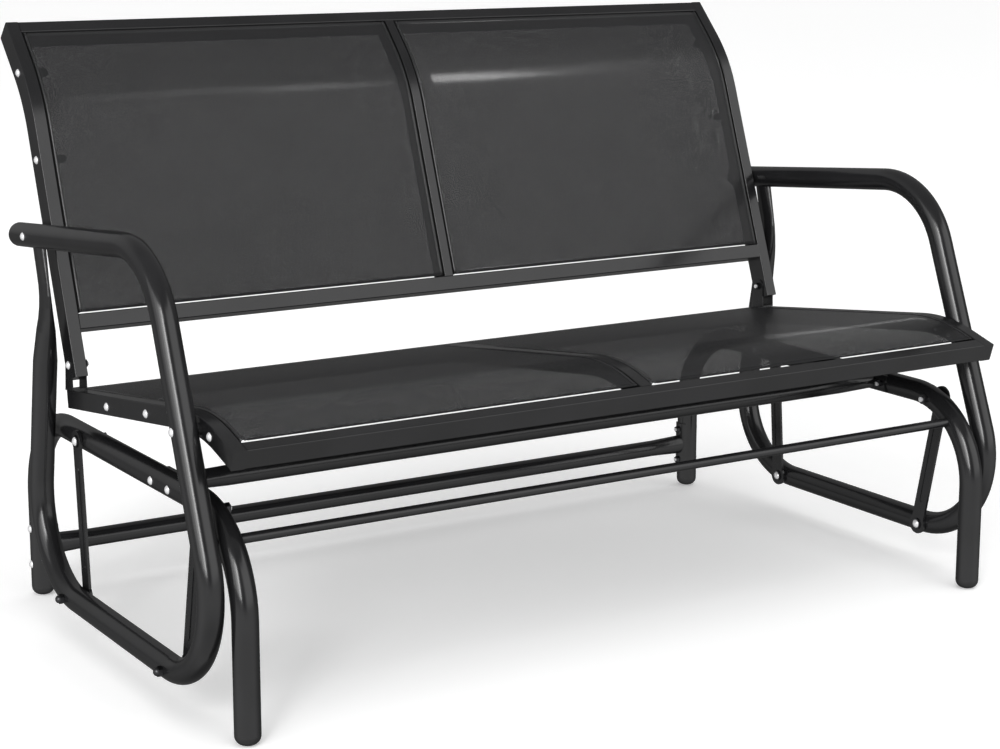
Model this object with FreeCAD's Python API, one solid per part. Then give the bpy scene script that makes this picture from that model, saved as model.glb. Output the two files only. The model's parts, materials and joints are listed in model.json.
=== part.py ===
# Glider bench for two people: a round-tube steel base, two arm frames that swing from it on four
# flat links, and a sling seat and back held in frames of rectangular tube.
# Millimetres. X runs across the bench, Y towards the back and Z up from the floor.
# Side views are drawn as (y, z) with y measured back from the front leg's axis. At the end the whole
# bench is moved along Y, so that the origin lies on the floor under the middle of the bench.
import FreeCAD, Part
import math
import os

os.makedirs("parts", exist_ok=True)
Vector = FreeCAD.Vector
ACROSS = Vector(1, 0, 0)

# Round tube of the base and the arm frames
tube_diameter = 35.0
tube_wall = 1.6
bend_radius = 130.0

# Base side frames, an arch each
base_half_spacing = 615.0
leg_spacing = 727.0
arch_height = 290.0

# Plastic caps in the open tube ends, domed under the feet and flatter at the armrests
foot_cap_edge_radius = 12.5
foot_cap_rim = 1.5
armrest_cap_edge_radius = 3.0
armrest_cap_rim = 1.0
cap_sleeve_length = 22.0
cap_sleeve_clearance = 0.1
cap_wall = 2.0

# Swing links, flat bars with round eyes and a pressed bead, in the gap beside the base frame
link_thickness = 4.0
link_side_gap = 0.5
link_width = 25.0
link_eye_radius = 16.0
bead_width = 9.0
bead_height = 1.0
bead_setback = 42.0
front_upper_pivot = 91.5
rear_upper_pivot = 506.5
front_lower_pivot = 136.5
rear_lower_pivot = 488.5

# Pivot hardware
pivot_bolt_radius = 4.0
running_clearance = 0.06
open_pivot_clearance = 1.5
bushing_wall = 2.5
bushing_proud = 0.2
washer_radius = 9.0
washer_thickness = 1.5
axial_clearance = 0.3
pivot_head_radius = 6.5
pivot_head_height = 3.6
pivot_nut_size = 13.0
pivot_nut_height = 6.5
acorn_height = 11.0
acorn_hex_height = 5.5
acorn_dome_radius = 6.0

# Frame bolts and nuts
frame_bolt_radius = 3.0
frame_head_radius = 6.0
frame_head_height = 3.4
frame_nut_size = 10.0
frame_nut_height = 5.0
bolt_tail = 2.0
hole_clearance = 0.15
drill_length = 80.0

# Cross tubes of the base, flared to a curved saddle plate at each end
cross_tube_diameter = 28.0
cross_tube_wall = 1.5
cross_flare_height = 35.0
cross_flare_depth = 22.0
cross_flare_length = 60.0
saddle_thickness = 2.5
saddle_half_angle = 42.0
saddle_bolt_offset = 28.0
saddle_margin = 11.0
rear_cross_height = 77.0
under_seat_cross_position = 221.0

# Tie rod between the front bends of the arches
tie_rod_diameter = 13.5
tie_rod_position = 42.5
tie_screw_depth = 25.0

# Arm frames, bent from one tube that starts at the armrest and ends under it
armrest_height = 603.5
armrest_reference = 300.0
armrest_fall = 5.2
armrest_rear_end = 650.0
upright_reference_height = 300.0
front_upright_position = 44.3
front_upright_lean = 21.0
rear_upright_position = 586.9
rear_upright_lean = 10.4
lower_tube_height = 66.0
knee_height = 478.0
knee_radius = 165.0
upright_top_position = 577.0
arm_spacer_gap = 3.5
arm_spacer_radius = 8.0

# Flattened upper end of the rear uprights, which starts below the knee
flattening_length = 46.0
flattened_width = 36.0
knee_start_thickness = 26.0
knee_early_thickness = 20.0
knee_middle_thickness = 15.5
knee_late_thickness = 12.5
knee_end_thickness = 10.8
armrest_end_thickness = 15.5

# Seat frame of rectangular tube: the line of its top edge from the rear end forwards
seat_rear_position = 543.0
seat_rear_height = 358.3
seat_pitch = 7.3
seat_straight = 405.0
seat_bend_radius = 268.0
seat_bend_turn = 24.5
seat_nose = 46.7
seat_rail_width = 20.0
seat_rail_depth = 27.0
seat_centre_width = 19.0
seat_cross_width = 20.0
rail_wall = 1.5
rail_end_wall = 2.0
rail_corner_radius = 1.5

# Back frame of rectangular tube: the line of its front edge from the lower end upwards
back_low_position = 504.7
back_low_rise = 20.8
back_lean = 19.75
back_straight = 368.0
back_bend_radius = 248.0
back_bend_turn = 24.3
back_crest = 74.0
back_rail_width = 19.0
back_rail_depth = 36.0
back_centre_width = 15.0
back_top_height = 19.0
back_bottom_height = 22.5
back_bottom_start = 67.5

# Sling panels and the strips that they are wrapped round and bolted on by
mesh_thickness = 2.0
mesh_edge_gap = 0.3
mesh_seat_gap = 0.3
front_slit = 6.0
rear_slit = 4.0
back_low_slit = 3.0
back_top_slit = 2.0
strip_thickness = 3.0
strip_depth = 20.0

# Where bolts go through the side rails, as distances along the rail's line
seat_bolt_distances = (150.0, 289.0)
seat_front_bolt_setback = 68.3
seat_bolt_depth = 15.0
back_bolt_distances = (321.0, 465.0)

# Folded brackets that carry the back frame on the seat frame
bracket_thickness = 2.0
bracket_foot_length = 30.0
bracket_top_radius = 11.0
bracket_foot_front = 516.0
bracket_bolt_distance = 20.0

# Points closer than this are the same
same_place = 0.01

# Places that follow from the sizes above
tube_radius = tube_diameter / 2
tube_bore = tube_radius - tube_wall
link_gap = link_thickness + 2 * link_side_gap
arm_half_spacing = base_half_spacing + tube_diameter + link_gap
arm_inner_face = arm_half_spacing - tube_radius
arm_outer_face = arm_half_spacing + tube_radius
base_inner_face = base_half_spacing - tube_radius
base_outer_face = base_half_spacing + tube_radius
frame_face = arm_inner_face - arm_spacer_gap
link_inner_face = base_outer_face + link_side_gap
link_outer_face = link_inner_face + link_thickness
foot_cap_length = foot_cap_edge_radius + foot_cap_rim
running_bore = pivot_bolt_radius + running_clearance
open_bore = pivot_bolt_radius + open_pivot_clearance
bushing_radius = running_bore + bushing_wall


def side_point(y, z, x=0.0):
    return Vector(x, y, z)


def slope(angle):
    return math.tan(math.radians(angle))


def armrest_z(y):
    return armrest_height - slope(armrest_fall) * (y - armrest_reference)


def front_upright_y(z):
    return front_upright_position + slope(front_upright_lean) * (z - upright_reference_height)


def rear_upright_y(z):
    return rear_upright_position - slope(rear_upright_lean) * (z - upright_reference_height)


def mirrored(shape):
    return shape.mirror(Vector(0, 0, 0), ACROSS)


def both_sides(shapes):
    return shapes + [mirrored(shape) for shape in shapes]


# Bent tube

def bent_runs(points, radii):
    """Straight runs and tangent bends through the points, as (kind, data) in order."""
    runs = []
    start = points[0]
    for before, corner, after, radius in zip(points, points[1:], points[2:], radii):
        back = (before - corner).normalize()
        ahead = (after - corner).normalize()
        half = back.getAngle(ahead) / 2
        reach = radius / math.tan(half)
        into = corner + back * reach
        centre = corner + (back + ahead).normalize() * (radius / math.sin(half))
        turn = math.degrees(math.pi - 2 * half)
        axis = back.cross(ahead).normalize() * -1
        runs.append(("run", start, into))
        runs.append(("bend", into, centre, axis, turn, ahead))
        start = corner + ahead * reach
    runs.append(("run", start, points[-1]))
    return runs


def disc(centre, direction, radius):
    return Part.Face(Part.Wire(Part.makeCircle(radius, centre, direction)))


def round_bar(runs, radius, bore=0.0):
    """Bar along the runs, hollow if it has a bore."""
    pieces = []
    for run in runs:
        if run[0] == "run":
            direction = run[2] - run[1]
        else:
            direction = run[3].cross(run[1] - run[2])
        section = disc(run[1], direction, radius)
        if bore:
            section = section.cut(disc(run[1], direction, bore)).Faces[0]
        if run[0] == "run":
            pieces.append(section.extrude(direction))
        else:
            pieces.append(section.revolve(run[2], run[3], run[4]))
    whole = pieces[0].multiFuse(pieces[1:])
    return whole.removeSplitter().Solids[0]


def placed_wire(curve, centre, normal, long_axis):
    """Closed curve drawn about the origin, set square to a direction with its X axis on another."""
    wire = Part.Wire(curve.toShape())
    turn = FreeCAD.Rotation(long_axis, normal.cross(long_axis), normal, "XYZ")
    wire.Placement = FreeCAD.Placement(centre, turn)
    return wire


def drilled(shape, centre, radius):
    """The shape with a round hole through it along X, centred on a point."""
    start = centre - ACROSS * (drill_length / 2)
    return shape.cut(Part.makeCylinder(radius, drill_length, start, ACROSS))


def tube_cap(end, outward, edge_radius, rim):
    """Cap in a tube's open end: a head with a rounded edge and a hollow sleeve inside the tube."""
    height = edge_radius + rim
    middle = edge_radius * math.sin(math.radians(45))
    flat_radius = tube_radius - edge_radius
    sleeve_radius = tube_bore - cap_sleeve_clearance
    corners = [
        Vector(0, 0, height),
        Vector(flat_radius, 0, height),
        Vector(flat_radius + middle, 0, rim + middle),
        Vector(tube_radius, 0, rim),
        Vector(tube_radius, 0, 0),
        Vector(sleeve_radius, 0, 0),
        Vector(sleeve_radius, 0, -cap_sleeve_length),
        Vector(sleeve_radius - cap_wall, 0, -cap_sleeve_length),
        Vector(sleeve_radius - cap_wall, 0, 0),
        Vector(0, 0, 0),
    ]
    edges = [Part.LineSegment(corners[0], corners[1]).toShape()]
    edges.append(Part.Arc(corners[1], corners[2], corners[3]).toShape())
    for near, far in zip(corners[3:], corners[4:] + corners[:1]):
        edges.append(Part.LineSegment(near, far).toShape())
    cap = Part.Face(Part.Wire(edges)).revolve(Vector(0, 0, 0), Vector(0, 0, 1), 360)
    cap.Placement = FreeCAD.Placement(end, FreeCAD.Rotation(Vector(0, 0, 1), outward))
    return cap


# Bolts, nuts and washers, all along X

def dome_bolt(seat, inward, shaft_radius, head_radius, head_height, reach):
    """Dome-headed bolt: its head stands on the seat and its shaft runs inward from there."""
    rise = (head_radius ** 2 - head_height ** 2) / (2 * head_height)
    sphere_radius = rise + head_height
    middle = math.asin(head_radius / sphere_radius) / 2
    top = Vector(0, 0, head_height)
    on_dome = Vector(sphere_radius * math.sin(middle), 0, sphere_radius * math.cos(middle) - rise)
    rim = Vector(head_radius, 0, 0)
    neck = Vector(shaft_radius, 0, 0)
    tip = Vector(shaft_radius, 0, -reach)
    end = Vector(0, 0, -reach)
    edges = [Part.Arc(top, on_dome, rim).toShape()]
    for near, far in ((rim, neck), (neck, tip), (tip, end), (end, top)):
        edges.append(Part.LineSegment(near, far).toShape())
    bolt = Part.Face(Part.Wire(edges)).revolve(Vector(0, 0, 0), Vector(0, 0, 1), 360)
    bolt.Placement = FreeCAD.Placement(seat, FreeCAD.Rotation(Vector(0, 0, 1), inward * -1))
    return bolt


def hexagon(size, height, seat, outward):
    """Hexagonal prism that stands on the seat, with this size across its flats."""
    reach = size / math.sqrt(3)
    corners = []
    for step in range(7):
        angle = math.radians(60 * step)
        corners.append(Vector(reach * math.cos(angle), reach * math.sin(angle), 0))
    prism = Part.Face(Part.makePolygon(corners)).extrude(Vector(0, 0, height))
    prism.Placement = FreeCAD.Placement(seat, FreeCAD.Rotation(Vector(0, 0, 1), outward))
    return prism


def hex_nut(seat, outward, size, height, hole_radius):
    nut = hexagon(size, height, seat, outward)
    return nut.cut(Part.makeCylinder(hole_radius, height, seat, outward))


def acorn_nut(seat, outward, hole_depth):
    """Closed dome nut over a bolt's end that stands out by the hole's depth."""
    base = hexagon(pivot_nut_size, acorn_hex_height, seat, outward)
    dome = Part.makeCylinder(acorn_dome_radius, acorn_height, seat, outward)
    shoulder = acorn_height - acorn_dome_radius
    rounded = Part.makeSphere(acorn_dome_radius, seat + outward * shoulder)
    dome = dome.common(rounded.fuse(Part.makeCylinder(acorn_dome_radius, shoulder, seat, outward)))
    nut = base.fuse(dome).removeSplitter()
    return nut.cut(Part.makeCylinder(pivot_bolt_radius, hole_depth, seat, outward)).Solids[0]


def washer(seat, outward, radius, hole_radius, thickness):
    ring = Part.makeCylinder(radius, thickness, seat, outward)
    return ring.cut(Part.makeCylinder(hole_radius, thickness, seat, outward))


# Rectangular tube that runs straight, bends and runs straight again

def lies_along(edge, directions):
    """True for an edge that makes headway in each direction and none across the bench."""
    step = edge.Vertexes[-1].Point - edge.Vertexes[0].Point
    headway = min(abs(step.dot(direction)) for direction in directions)
    return abs(step.x) < same_place < headway


class RailLine:
    """A line in the side view, with distances along it and depths to its inner side."""

    def __init__(self, start, heading, straight, radius, turn, last, side):
        self.start = start
        self.heading = heading
        self.straight = straight
        self.radius = radius
        self.turn = turn
        self.side = side
        self.arc_length = radius * math.radians(turn)
        self.length = straight + self.arc_length + last
        self.centre = self.at(straight, radius)

    def angle(self, distance):
        along = min(max(distance - self.straight, 0), self.arc_length)
        return math.radians(self.heading) + self.side * along / self.radius

    def across(self, distance):
        angle = self.angle(distance) + self.side * math.pi / 2
        return Vector(0, math.cos(angle), math.sin(angle))

    def along(self, distance):
        angle = self.angle(distance)
        return Vector(0, math.cos(angle), math.sin(angle))

    def at(self, distance, depth=0.0):
        arc_end = self.straight + self.arc_length
        if distance <= self.straight:
            point = self.start + self.along(0) * distance
        elif distance <= arc_end:
            point = self.centre - self.across(distance) * self.radius
        else:
            bend_end = self.centre - self.across(arc_end) * self.radius
            point = bend_end + self.along(arc_end) * (distance - arc_end)
        return point + self.across(distance) * depth

    def edges(self, near, far, depth):
        """Edges of the line between two distances, at a depth."""
        arc_end = self.straight + self.arc_length
        bend_from = max(near, self.straight)
        bend_to = min(far, arc_end)
        found = []
        if near < self.straight:
            last = min(far, self.straight)
            found.append(Part.LineSegment(self.at(near, depth), self.at(last, depth)).toShape())
        if bend_to > bend_from:
            middle = (bend_from + bend_to) / 2
            arc = Part.Arc(self.at(bend_from, depth), self.at(middle, depth), self.at(bend_to, depth))
            found.append(arc.toShape())
        if far > arc_end:
            first = max(near, arc_end)
            found.append(Part.LineSegment(self.at(first, depth), self.at(far, depth)).toShape())
        return found

    def slab(self, near, far, shallow, deep, low_x, high_x):
        """Solid between two distances, two depths and two places across the bench."""
        edges = self.edges(near, far, shallow) + self.edges(near, far, deep)
        edges.append(Part.LineSegment(self.at(near, shallow), self.at(near, deep)).toShape())
        edges.append(Part.LineSegment(self.at(far, shallow), self.at(far, deep)).toShape())
        outline = Part.Wire(Part.__sortEdges__(edges))
        face = Part.Face(outline)
        face.translate(Vector(low_x, 0, 0))
        return face.extrude(Vector(high_x - low_x, 0, 0))

    def tube(self, near, far, depth, low_x, high_x, end_wall):
        """Rectangular tube along the line, closed at its ends where it has an end wall."""
        outer = self.slab(near, far, 0, depth, low_x, high_x)
        ends = (self.along(near), self.along(far))
        long_edges = [edge for edge in outer.Edges if lies_along(edge, ends)]
        outer = outer.makeFillet(rail_corner_radius, long_edges)
        inner = self.slab(near + end_wall, far - end_wall, rail_wall, depth - rail_wall,
                          low_x + rail_wall, high_x - rail_wall)
        return outer.cut(inner)


seat_line = RailLine(side_point(seat_rear_position, seat_rear_height), 180 - seat_pitch,
                     seat_straight, seat_bend_radius, seat_bend_turn, seat_nose, 1)


def seat_rail_top(y):
    """Height of the straight part of the seat rails' top edge."""
    return seat_rear_height + slope(seat_pitch) * (seat_rear_position - y)


back_low_height = seat_rail_top(back_low_position) + back_low_rise
back_line = RailLine(side_point(back_low_position, back_low_height), 90 - back_lean,
                     back_straight, back_bend_radius, back_bend_turn, back_crest, -1)

nodes = {}


def beside(point, other):
    """Distance between two points in the side view."""
    return math.hypot(point.y - other.y, point.z - other.z)


def cross_box(line, near, far, depth, half_length):
    """Open-ended rectangular tube across the bench."""
    outer = line.slab(near, far, 0, depth, -half_length, half_length)
    corners = [line.at(distance, deep) for distance in (near, far) for deep in (0, depth)]
    long_edges = [edge for edge in outer.Edges
                  if abs(edge.Vertexes[0].X - edge.Vertexes[-1].X) > half_length
                  and min(beside(edge.Vertexes[0].Point, corner) for corner in corners) < same_place]
    outer = outer.makeFillet(rail_corner_radius, long_edges)
    inner = line.slab(near + rail_wall, far - rail_wall, rail_wall, depth - rail_wall,
                      -half_length, half_length)
    return outer.cut(inner)


# Where bolts and pivots lie in the side view

def arch_point(y):
    """Point of the arch's centreline at this y, on its front bend or its level top."""
    if y < bend_radius:
        rise = math.sqrt(bend_radius ** 2 - (bend_radius - y) ** 2)
        return side_point(y, arch_height - bend_radius + rise)
    return side_point(y, arch_height)


arm_corners = [
    side_point(armrest_rear_end, armrest_z(armrest_rear_end)),
    None,
    side_point(front_upright_y(lower_tube_height), lower_tube_height),
    side_point(rear_upright_y(lower_tube_height), lower_tube_height),
    side_point(rear_upright_y(knee_height), knee_height),
    side_point(upright_top_position, armrest_z(upright_top_position)),
]
armrest_slope = slope(armrest_fall)
upright_slope = slope(front_upright_lean)
front_corner_z = (armrest_height - armrest_slope * (front_upright_y(0) - armrest_reference)) / (
    1 + armrest_slope * upright_slope)
arm_corners[1] = side_point(front_upright_y(front_corner_z), front_corner_z)


def lower_tube_point(y):
    """Point of the lower tube's centreline at this y, which may lie on the start of a bend."""
    runs = bent_runs(arm_corners, [bend_radius, bend_radius, bend_radius, knee_radius])
    level = runs[4]
    low_end = min(level[1].y, level[2].y)
    high_end = max(level[1].y, level[2].y)
    past = max(low_end - y, y - high_end, 0)
    rise = bend_radius - math.sqrt(bend_radius ** 2 - past ** 2)
    return side_point(y, lower_tube_height + rise)


front_upper = arch_point(front_upper_pivot)
rear_upper = arch_point(rear_upper_pivot)
front_lower = lower_tube_point(front_lower_pivot)
rear_lower = lower_tube_point(rear_lower_pivot)


def meeting(line, depth, short_of):
    """Point at this depth where a rail's line stops being short of a tube's axis."""
    low = 0.0
    high = line.length
    for step in range(40):
        middle = (low + high) / 2
        if short_of(line.at(middle, depth)):
            low = middle
        else:
            high = middle
    return line.at(high, depth)


back_bolt_depth = back_rail_depth / 2
front_arm_bolt = meeting(seat_line, seat_bolt_depth,
                         lambda point: point.y > front_upright_y(point.z))
rear_arm_bolt = meeting(back_line, back_bolt_depth,
                        lambda point: point.z < armrest_z(point.y))
bracket_bolt = back_line.at(bracket_bolt_distance, back_bolt_depth)
seat_bolts = [seat_line.at(distance, seat_bolt_depth) for distance in
              (*seat_bolt_distances, seat_line.length - seat_front_bolt_setback)]
back_bolts = [back_line.at(distance, back_bolt_depth) for distance in back_bolt_distances]


# Base side frames

base_offset = ACROSS * base_half_spacing
front_foot = side_point(0, foot_cap_length)
rear_foot = side_point(leg_spacing, foot_cap_length)
arch_runs = bent_runs(
    [front_foot + base_offset, side_point(0, arch_height) + base_offset,
     side_point(leg_spacing, arch_height) + base_offset, rear_foot + base_offset],
    [bend_radius, bend_radius])
arch_solid = round_bar(arch_runs, tube_radius)
base_frame = round_bar(arch_runs, tube_radius, tube_bore)
rear_cross_bolts = [side_point(leg_spacing, rear_cross_height + offset)
                    for offset in (-saddle_bolt_offset, saddle_bolt_offset)]
under_seat_bolts = [side_point(under_seat_cross_position + offset, arch_height)
                    for offset in (-saddle_bolt_offset, saddle_bolt_offset)]
tie_point = arch_point(tie_rod_position)
for point in (front_upper, rear_upper):
    base_frame = drilled(base_frame, point + base_offset, pivot_bolt_radius + hole_clearance)
for point in rear_cross_bolts + under_seat_bolts + [tie_point]:
    base_frame = drilled(base_frame, point + base_offset, frame_bolt_radius + hole_clearance)
nodes["base_frame_right"] = [base_frame]
nodes["base_frame_left"] = [mirrored(base_frame)]

foot_caps = [tube_cap(foot + base_offset, Vector(0, 0, -1), foot_cap_edge_radius, foot_cap_rim)
             for foot in (front_foot, rear_foot)]
nodes["foot_caps"] = both_sides(foot_caps)


# Cross tubes with flared ends and saddle plates

def saddle_plate(centre, direction, bolts):
    """Curved plate on the inner side of a base tube that runs in this direction."""
    reach = saddle_bolt_offset + saddle_margin
    start = centre - direction * reach
    plate = Part.makeCylinder(tube_radius + saddle_thickness, 2 * reach, start, direction)
    plate = plate.cut(Part.makeCylinder(tube_radius, 2 * reach, start, direction))
    width = math.sin(math.radians(saddle_half_angle)) * (tube_radius + saddle_thickness)
    sideways = direction.cross(ACROSS)
    corner = start - sideways * width - ACROSS * tube_diameter
    window = Part.makePolygon([corner, corner + sideways * 2 * width,
                               corner + sideways * 2 * width + ACROSS * tube_diameter,
                               corner + ACROSS * tube_diameter, corner])
    plate = plate.common(Part.Face(window).extrude(direction * 2 * reach)).Solids[0]
    for bolt in bolts:
        plate = drilled(plate, bolt + base_offset, frame_bolt_radius + hole_clearance)
    return plate


def cross_tube(centre, direction, bolts):
    """Round tube between the base frames: its ends flare along the frame's tube."""
    seat_x = base_half_spacing - tube_radius
    flare_from = seat_x - saddle_thickness - cross_flare_length
    radius = cross_tube_diameter / 2
    middle = centre - ACROSS * flare_from
    tube = Part.makeCylinder(radius, 2 * flare_from, middle, ACROSS)
    round_end = Part.Circle(Vector(0, 0, 0), Vector(0, 0, 1), radius)
    flat_end = Part.Ellipse(Vector(0, 0, 0), cross_flare_height / 2, cross_flare_depth / 2)
    near = placed_wire(round_end, centre + ACROSS * flare_from, ACROSS, direction)
    far = placed_wire(flat_end, centre + ACROSS * base_half_spacing, ACROSS, direction)
    flare = Part.makeLoft([near, far], True, True)
    reach = saddle_bolt_offset + saddle_margin
    clear = Part.makeCylinder(tube_radius + saddle_thickness / 2, 2 * reach,
                              centre + base_offset - direction * reach, direction)
    flare = flare.cut(clear).Solids[0]
    end = flare.fuse(saddle_plate(centre + base_offset, direction, bolts))
    tube = tube.multiFuse([end, mirrored(end)]).removeSplitter()
    bore = Part.makeCylinder(radius - cross_tube_wall, 2 * flare_from, middle, ACROSS)
    return tube.cut(bore).Solids[0]


nodes["rear_cross_tube"] = [cross_tube(side_point(leg_spacing, rear_cross_height),
                                       Vector(0, 0, 1), rear_cross_bolts)]
nodes["under_seat_cross_tube"] = [cross_tube(side_point(under_seat_cross_position, arch_height),
                                             Vector(0, 1, 0), under_seat_bolts)]


def through_fasteners(points, outer_x, inner_x, shaft, head, head_height, nut_size, nut_height):
    """Bolts put in from the outside of the bench, with nuts on the inner side."""
    grip = outer_x - inner_x
    reach = grip + nut_height + bolt_tail
    inward = ACROSS * -1
    bolts = [dome_bolt(point + ACROSS * outer_x, inward, shaft, head, head_height, reach)
             for point in points]
    nuts = [hex_nut(point + ACROSS * inner_x, inward, nut_size, nut_height, shaft)
            for point in points]
    return bolts, nuts


def frame_fasteners(points, outer_x, inner_x):
    return through_fasteners(points, outer_x, inner_x, frame_bolt_radius, frame_head_radius,
                             frame_head_height, frame_nut_size, frame_nut_height)


bolts, nuts = frame_fasteners(rear_cross_bolts, base_outer_face, base_inner_face - saddle_thickness)
nodes["rear_cross_bolts"] = both_sides(bolts)
nodes["rear_cross_nuts"] = both_sides(nuts)
bolts, nuts = frame_fasteners(under_seat_bolts, base_outer_face, base_inner_face - saddle_thickness)
nodes["under_seat_bolts"] = both_sides(bolts)
nodes["under_seat_nuts"] = both_sides(nuts)

# Tie rod, coped to the bends and screwed from outside
rod_start = tie_point - base_offset
rod = Part.makeCylinder(tie_rod_diameter / 2, 2 * base_half_spacing, rod_start, ACROSS)
rod = rod.cut(arch_solid).cut(mirrored(arch_solid)).Solids
rod = max(rod, key=lambda piece: piece.Volume)
screw_reach = tube_diameter + tie_screw_depth
tie_screw = dome_bolt(tie_point + ACROSS * base_outer_face, ACROSS * -1, frame_bolt_radius,
                      frame_head_radius, frame_head_height, screw_reach)
screw_hole = Part.makeCylinder(frame_bolt_radius, screw_reach, tie_point + ACROSS * base_outer_face,
                               ACROSS * -1)
rod = rod.cut(screw_hole).cut(mirrored(screw_hole))
nodes["front_tie_rod"] = rod.Solids
nodes["tie_rod_screws"] = both_sides([tie_screw])

# Upper pivots: the bolt goes through the link and the arch, with its nut inside
upper_washer_x = link_outer_face + bushing_proud + axial_clearance
upper_head_x = upper_washer_x + washer_thickness
bolts, nuts = through_fasteners([front_upper, rear_upper], upper_head_x, base_inner_face,
                                pivot_bolt_radius, pivot_head_radius, pivot_head_height,
                                pivot_nut_size, pivot_nut_height)
upper_washers = [washer(point + ACROSS * upper_washer_x, ACROSS, washer_radius, pivot_bolt_radius,
                        washer_thickness) for point in (front_upper, rear_upper)]
nodes["upper_pivot_bolts"] = both_sides(bolts)
nodes["upper_pivot_nuts"] = both_sides(nuts)
nodes["upper_pivot_washers"] = both_sides(upper_washers)


# Links

def swing_link(top, bottom):
    """Flat bar with round eyes and a pressed bead, in the side view at the link's inner face."""
    inner = ACROSS * link_inner_face
    direction = (bottom - top).normalize()
    sideways = ACROSS.cross(direction)

    def bar(start, end, width, x, thickness):
        half = sideways * (width / 2)
        corners = [start + half, end + half, end - half, start - half, start + half]
        face = Part.Face(Part.makePolygon(corners))
        face.translate(ACROSS * x)
        return face.extrude(ACROSS * thickness)

    plate = bar(top, bottom, link_width, link_inner_face, link_thickness)
    for eye in (top, bottom):
        plate = plate.fuse(Part.makeCylinder(link_eye_radius, link_thickness, eye + inner, ACROSS))
    bead_top = top + direction * bead_setback
    bead_bottom = bottom - direction * bead_setback
    bead_radius = bead_width / 2
    bead = bar(bead_top, bead_bottom, bead_width, link_outer_face, bead_height)
    groove_width = bead_width - 2 * bead_height
    groove = bar(bead_top, bead_bottom, groove_width, link_inner_face, bead_height)
    for end in (bead_top, bead_bottom):
        bead = bead.fuse(Part.makeCone(bead_radius, groove_width / 2, bead_height,
                                       end + ACROSS * link_outer_face, ACROSS))
        groove = groove.fuse(Part.makeCylinder(groove_width / 2, bead_height, end + inner, ACROSS))
    plate = plate.fuse(bead).cut(groove)
    for eye in (top, bottom):
        plate = drilled(plate, eye + inner, bushing_radius)
    return plate.removeSplitter().Solids[0]


def link_bushing(eye, bore_radius):
    length = link_thickness + 2 * bushing_proud
    start = eye + ACROSS * (link_inner_face - bushing_proud)
    return washer(start, ACROSS, bushing_radius, bore_radius, length)


for name, top, bottom, lower_bore in (("front", front_upper, front_lower, running_bore),
                                      ("rear", rear_upper, rear_lower, open_bore)):
    link = swing_link(top, bottom)
    nodes[name + "_link_right"] = [link]
    nodes[name + "_link_left"] = [mirrored(link)]
    bushings = [link_bushing(top, running_bore), link_bushing(bottom, lower_bore)]
    nodes[name + "_link_bushings"] = both_sides(bushings)

# Lower pivots: the bolt goes through the link and the arm frame, with an acorn nut outside
lower_washer_x = link_inner_face - bushing_proud - axial_clearance
lower_head_x = lower_washer_x - washer_thickness
lower_reach = arm_outer_face - lower_head_x + acorn_hex_height
lower_bolts = []
lower_washers = []
acorn_nuts = []
for point in (front_lower, rear_lower):
    lower_bolts.append(dome_bolt(point + ACROSS * lower_head_x, ACROSS, pivot_bolt_radius,
                                 pivot_head_radius, pivot_head_height, lower_reach))
    lower_washers.append(washer(point + ACROSS * lower_head_x, ACROSS, washer_radius,
                                pivot_bolt_radius, washer_thickness))
    acorn_nuts.append(acorn_nut(point + ACROSS * arm_outer_face, ACROSS, acorn_hex_height))
nodes["lower_pivot_bolts"] = both_sides(lower_bolts)
nodes["lower_pivot_washers"] = both_sides(lower_washers)
nodes["lower_pivot_acorn_nuts"] = both_sides(acorn_nuts)

# Arm frames
arm_offset = ACROSS * arm_half_spacing
corners = [corner + arm_offset for corner in arm_corners]
loop_runs = bent_runs(corners[:5], [bend_radius] * 3)
knee_runs = bent_runs(corners[3:], [knee_radius])
knee_start, knee_centre, knee_axis, knee_turn, knee_ahead = knee_runs[1][1:]
upright_top = knee_runs[2][2]
upright_direction = (knee_start - loop_runs[-1][1]).normalize()
round_end = knee_start - upright_direction * flattening_length
loop_runs[-1] = ("run", loop_runs[-1][1], round_end)
loop = round_bar(loop_runs, tube_radius, tube_bore)


def knee_point(share):
    """Point of the knee's centreline at this share of its turn, and its direction there."""
    turn = FreeCAD.Rotation(knee_axis, knee_turn * share)
    outward = turn.multVec(knee_start - knee_centre)
    return knee_centre + outward, knee_axis.cross(outward).normalize()


def flattened(wall):
    """Upper end of the upright, lofted from round to oval, this far inside its outer surface."""
    thicknesses = [knee_start_thickness, knee_early_thickness, knee_middle_thickness,
                   knee_late_thickness, knee_end_thickness]
    stations = [(*knee_point(step / (len(thicknesses) - 1)), thickness)
                for step, thickness in enumerate(thicknesses)]
    stations.append((upright_top, knee_ahead, armrest_end_thickness))
    circle = Part.Circle(Vector(0, 0, 0), Vector(0, 0, 1), tube_radius - wall)
    wires = [placed_wire(circle, round_end, upright_direction, ACROSS.cross(upright_direction))]
    for point, direction, thickness in stations:
        oval = Part.Ellipse(Vector(0, 0, 0), flattened_width / 2 - wall, thickness / 2 - wall)
        wires.append(placed_wire(oval, point, direction, ACROSS.cross(direction)))
    return Part.makeLoft(wires, True, True)


armrest_bar = round_bar([("run", corners[0], corners[1])], tube_radius)
upright = flattened(0).cut(flattened(tube_wall)).cut(armrest_bar)
upright = max(upright.Solids, key=lambda piece: piece.Volume)
arm_frame = loop.fuse(upright).removeSplitter()
for point in (front_lower, rear_lower):
    arm_frame = drilled(arm_frame, point + arm_offset, pivot_bolt_radius + hole_clearance)
for point in (front_arm_bolt, rear_arm_bolt):
    arm_frame = drilled(arm_frame, point + arm_offset, frame_bolt_radius + hole_clearance)
nodes["arm_frame_right"] = arm_frame.Solids
nodes["arm_frame_left"] = [mirrored(solid) for solid in arm_frame.Solids]
armrest_outward = (corners[0] - corners[1]).normalize()
nodes["armrest_caps"] = both_sides([tube_cap(corners[0], armrest_outward, armrest_cap_edge_radius,
                                            armrest_cap_rim)])

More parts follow.
